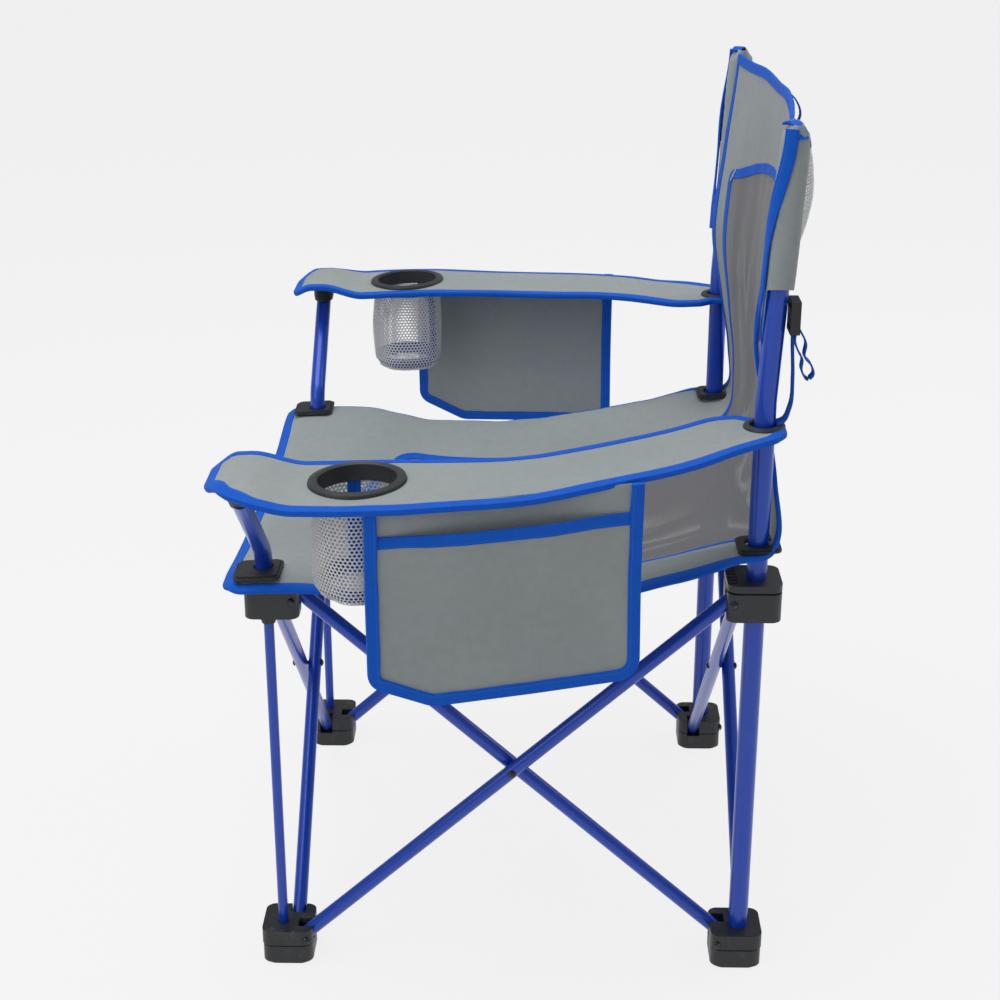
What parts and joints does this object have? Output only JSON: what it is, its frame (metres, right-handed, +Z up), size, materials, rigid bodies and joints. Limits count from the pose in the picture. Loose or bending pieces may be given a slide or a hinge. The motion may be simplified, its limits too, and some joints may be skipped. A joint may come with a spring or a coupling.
{
  "type": "folding camp chair",
  "caption": "Folding camp chair with crossed steel tube legs, sagging fabric seat, padded-edge armrests, cup holders, side pockets and a mesh back pocket.",
  "frame": {"origin": "on the ground, in the middle of the chair's outline seen from above", "axes": "+Z up, -Y the way the chair faces, +X towards the sitter's left"},
  "size_m": [0.9268, 0.6436, 0.9586],
  "materials": {
    "frame_blue": "blue powder coat, satin",
    "hub_black": "black moulded nylon",
    "pin_dark": "black coated rivet",
    "ring_black": "dark grey moulded plastic",
    "fabric_grey": "grey polyester, plain weave",
    "mesh_dark": "dark grey open mesh",
    "mesh_white": "white hexagonal mesh",
    "binding_blue": "blue binding tape and webbing"
  },
  "bodies": {
    "root": {"foot_rear_left": "hub_black", "upright_left": "frame_blue", "foot_pins_rear_left": "pin_dark", "back_panel": "fabric_grey", "back_pocket": "mesh_white"},
    "rear_outer": {"cross_rear_outer": "frame_blue", "cross_pin_rear": "pin_dark"},
    "rear_inner": {"cross_rear_inner": "frame_blue"},
    "rear_right_post": {"foot_rear_right": "hub_black", "upright_right": "frame_blue", "foot_pins_rear_right": "pin_dark"},
    "rear_right_slider": {"slider_rear_right": "hub_black", "hub_pins_rear_right": "pin_dark", "seat_plate_rear_right": "hub_black"},
    "left_inner": {"cross_left_inner": "frame_blue", "cross_pin_left": "pin_dark"},
    "left_outer": {"cross_left_outer": "frame_blue"},
    "front_left_hub": {"hub_front_left": "hub_black", "hub_pins_front_left": "pin_dark", "arm_post_left": "frame_blue", "front_rod_left": "frame_blue", "ferrule_left": "ring_black", "seat_plate_front_left": "hub_black", "side_pocket_left": "fabric_grey"},
    "front_left_foot": {"foot_front_left": "hub_black", "foot_pins_front_left": "pin_dark"},
    "rear_left_slider": {"slider_rear_left": "hub_black", "hub_pins_rear_left": "pin_dark", "seat_plate_rear_left": "hub_black"},
    "right_outer": {"cross_right_outer": "frame_blue", "cross_pin_right": "pin_dark"},
    "right_inner": {"cross_right_inner": "frame_blue"},
    "front_right_hub": {"hub_front_right": "hub_black", "hub_pins_front_right": "pin_dark", "arm_post_right": "frame_blue", "front_rod_right": "frame_blue", "ferrule_right": "ring_black", "seat_plate_front_right": "hub_black", "side_pocket_right": "fabric_grey"},
    "front_right_foot": {"foot_front_right": "hub_black", "foot_pins_front_right": "pin_dark"},
    "front_inner": {"cross_front_inner": "frame_blue", "cross_pin_front": "pin_dark"},
    "front_outer": {"cross_front_outer": "frame_blue"},
    "left_arm_slide": {"arm_grommet_left": "ring_black", "strap_left": "binding_blue", "buckle_left": "hub_black"},
    "right_arm_slide": {"arm_grommet_right": "ring_black", "strap_right": "binding_blue", "buckle_right": "hub_black"},
    "left_arm_front": {"arm_front_left": "fabric_grey", "cup_ring_left": "ring_black", "cup_bag_left": "mesh_white"},
    "right_arm_front": {"arm_front_right": "fabric_grey", "cup_ring_right": "ring_black", "cup_bag_right": "mesh_white"},
    "left_arm_rear": {"arm_rear_left": "fabric_grey"},
    "right_arm_rear": {"arm_rear_right": "fabric_grey"},
    "left_seat": {"seat_left": "fabric_grey"},
    "right_seat": {"seat_right": "fabric_grey"}
  },
  "joints": [
    {"name": "fold", "type": "hinge", "parent": "root", "child": "rear_outer", "pos_m": [0.234, 0.2515, 0.032], "axis": [0, 1, 0], "range_deg": [0, 40], "deforming": ["seat_left", "seat_right", "arm_front_left", "arm_front_right", "arm_rear_left", "arm_rear_right", "side_pocket_left", "side_pocket_right", "cup_bag_left", "cup_bag_right", "back_panel", "back_pocket", "strap_left", "strap_right"]},
    {"name": "rear_cross", "type": "hinge", "parent": "rear_outer", "child": "rear_inner", "pos_m": [0, 0.243, 0.244], "axis": [0, 1, 0], "range_deg": [-80.01, 0]},
    {"name": "rear_right_foot_pin", "type": "hinge", "parent": "rear_inner", "child": "rear_right_post", "pos_m": [-0.234, 0.2345, 0.032], "axis": [0, 1, 0], "range_deg": [0, 40.01]},
    {"name": "rear_right_slider_pin", "type": "hinge", "parent": "rear_outer", "child": "rear_right_slider", "pos_m": [-0.234, 0.2515, 0.456], "axis": [0, 1, 0], "range_deg": [-40.01, 0]},
    {"name": "left_inner_pin", "type": "hinge", "parent": "root", "child": "left_inner", "pos_m": [0.2475, 0.221, 0.032], "axis": [1, 0, 0], "range_deg": [-40.01, 0]},
    {"name": "left_cross", "type": "hinge", "parent": "left_inner", "child": "left_outer", "pos_m": [0.256, -0.013, 0.244], "axis": [1, 0, 0], "range_deg": [0, 80.01]},
    {"name": "front_left_hub_pin", "type": "hinge", "parent": "left_inner", "child": "front_left_hub", "pos_m": [0.2475, -0.247, 0.456], "axis": [1, 0, 0], "range_deg": [0, 40.01]},
    {"name": "front_left_foot_pin", "type": "hinge", "parent": "left_outer", "child": "front_left_foot", "pos_m": [0.2645, -0.247, 0.032], "axis": [1, 0, 0], "range_deg": [-40.01, 0]},
    {"name": "rear_left_slider_pin", "type": "hinge", "parent": "left_outer", "child": "rear_left_slider", "pos_m": [0.2645, 0.221, 0.456], "axis": [1, 0, 0], "range_deg": [-40.01, 0]},
    {"name": "right_outer_pin", "type": "hinge", "parent": "rear_right_post", "child": "right_outer", "pos_m": [-0.2645, 0.221, 0.032], "axis": [-1, 0, 0], "range_deg": [0, 40.01]},
    {"name": "right_cross", "type": "hinge", "parent": "right_outer", "child": "right_inner", "pos_m": [-0.256, -0.013, 0.244], "axis": [-1, 0, 0], "range_deg": [-80.01, 0]},
    {"name": "front_right_hub_pin", "type": "hinge", "parent": "right_outer", "child": "front_right_hub", "pos_m": [-0.2645, -0.247, 0.456], "axis": [-1, 0, 0], "range_deg": [-40.01, 0]},
    {"name": "front_right_foot_pin", "type": "hinge", "parent": "right_inner", "child": "front_right_foot", "pos_m": [-0.2475, -0.247, 0.032], "axis": [-1, 0, 0], "range_deg": [0, 40.01]},
    {"name": "front_inner_pin", "type": "hinge", "parent": "front_left_foot", "child": "front_inner", "pos_m": [0.234, -0.2605, 0.032], "axis": [0, -1, 0], "range_deg": [-40.01, 0]},
    {"name": "front_cross", "type": "hinge", "parent": "front_inner", "child": "front_outer", "pos_m": [0, -0.269, 0.244], "axis": [0, -1, 0], "range_deg": [0, 80.01]},
    {"name": "left_arm_slide", "type": "slide", "parent": "root", "child": "left_arm_slide", "axis": [0, 0.0523, 0.9986], "range_m": [0, 0.20173]},
    {"name": "left_arm_front_fold", "type": "hinge", "parent": "front_left_hub", "child": "left_arm_front", "pos_m": [0.36, -0.263, 0.62473], "axis": [1, 0, 0], "range_deg": [-67.75, 0]},
    {"name": "left_arm_rear_fold", "type": "hinge", "parent": "left_arm_slide", "child": "left_arm_rear", "pos_m": [0.29, 0.222, 0.64368], "axis": [1, 0, 0], "range_deg": [0, 84.86]},
    {"name": "left_seat_fold", "type": "hinge", "parent": "rear_left_slider", "child": "left_seat", "pos_m": [0.222, 0, 0.49785], "axis": [0, 0.9985, 0.0546], "range_deg": [-63.08, 0]},
    {"name": "right_arm_slide", "type": "slide", "parent": "rear_right_post", "child": "right_arm_slide", "axis": [0, 0.0523, 0.9986], "range_m": [0, 0.20173]},
    {"name": "right_arm_front_fold", "type": "hinge", "parent": "front_right_hub", "child": "right_arm_front", "pos_m": [-0.36, -0.263, 0.62473], "axis": [1, 0, 0], "range_deg": [-67.75, 0]},
    {"name": "right_arm_rear_fold", "type": "hinge", "parent": "right_arm_slide", "child": "right_arm_rear", "pos_m": [-0.29, 0.222, 0.64368], "axis": [1, 0, 0], "range_deg": [0, 84.86]},
    {"name": "right_seat_fold", "type": "hinge", "parent": "rear_right_slider", "child": "right_seat", "pos_m": [-0.222, 0, 0.49785], "axis": [0, 0.9985, 0.0546], "range_deg": [0, 63.08]}
  ],
  "couplings": [
    {"joint": "rear_cross", "follows": "fold", "ratio": -2},
    {"joint": "rear_right_foot_pin", "follows": "fold", "ratio": 1},
    {"joint": "rear_right_slider_pin", "follows": "fold", "ratio": -1},
    {"joint": "left_inner_pin", "follows": "fold", "ratio": -1},
    {"joint": "left_cross", "follows": "fold", "ratio": 2},
    {"joint": "front_left_hub_pin", "follows": "fold", "ratio": 1},
    {"joint": "front_left_foot_pin", "follows": "fold", "ratio": -1},
    {"joint": "rear_left_slider_pin", "follows": "fold", "ratio": -1},
    {"joint": "right_outer_pin", "follows": "fold", "ratio": 1},
    {"joint": "right_cross", "follows": "fold", "ratio": -2},
    {"joint": "front_right_hub_pin", "follows": "fold", "ratio": -1},
    {"joint": "front_right_foot_pin", "follows": "fold", "ratio": 1},
    {"joint": "front_inner_pin", "follows": "fold", "ratio": -1},
    {"joint": "front_cross", "follows": "fold", "ratio": 2},
    {"joint": "left_arm_slide", "follows": "fold", "m_per_rad": 0.28881},
    {"joint": "left_arm_front_fold", "follows": "fold", "ratio": -1.6935},
    {"joint": "left_arm_rear_fold", "follows": "fold", "ratio": 2.1212},
    {"joint": "left_seat_fold", "follows": "fold", "ratio": -1.5769},
    {"joint": "right_arm_slide", "follows": "fold", "m_per_rad": 0.28881},
    {"joint": "right_arm_front_fold", "follows": "fold", "ratio": -1.6935},
    {"joint": "right_arm_rear_fold", "follows": "fold", "ratio": 2.1212},
    {"joint": "right_seat_fold", "follows": "fold", "ratio": 1.5769}
  ]
}
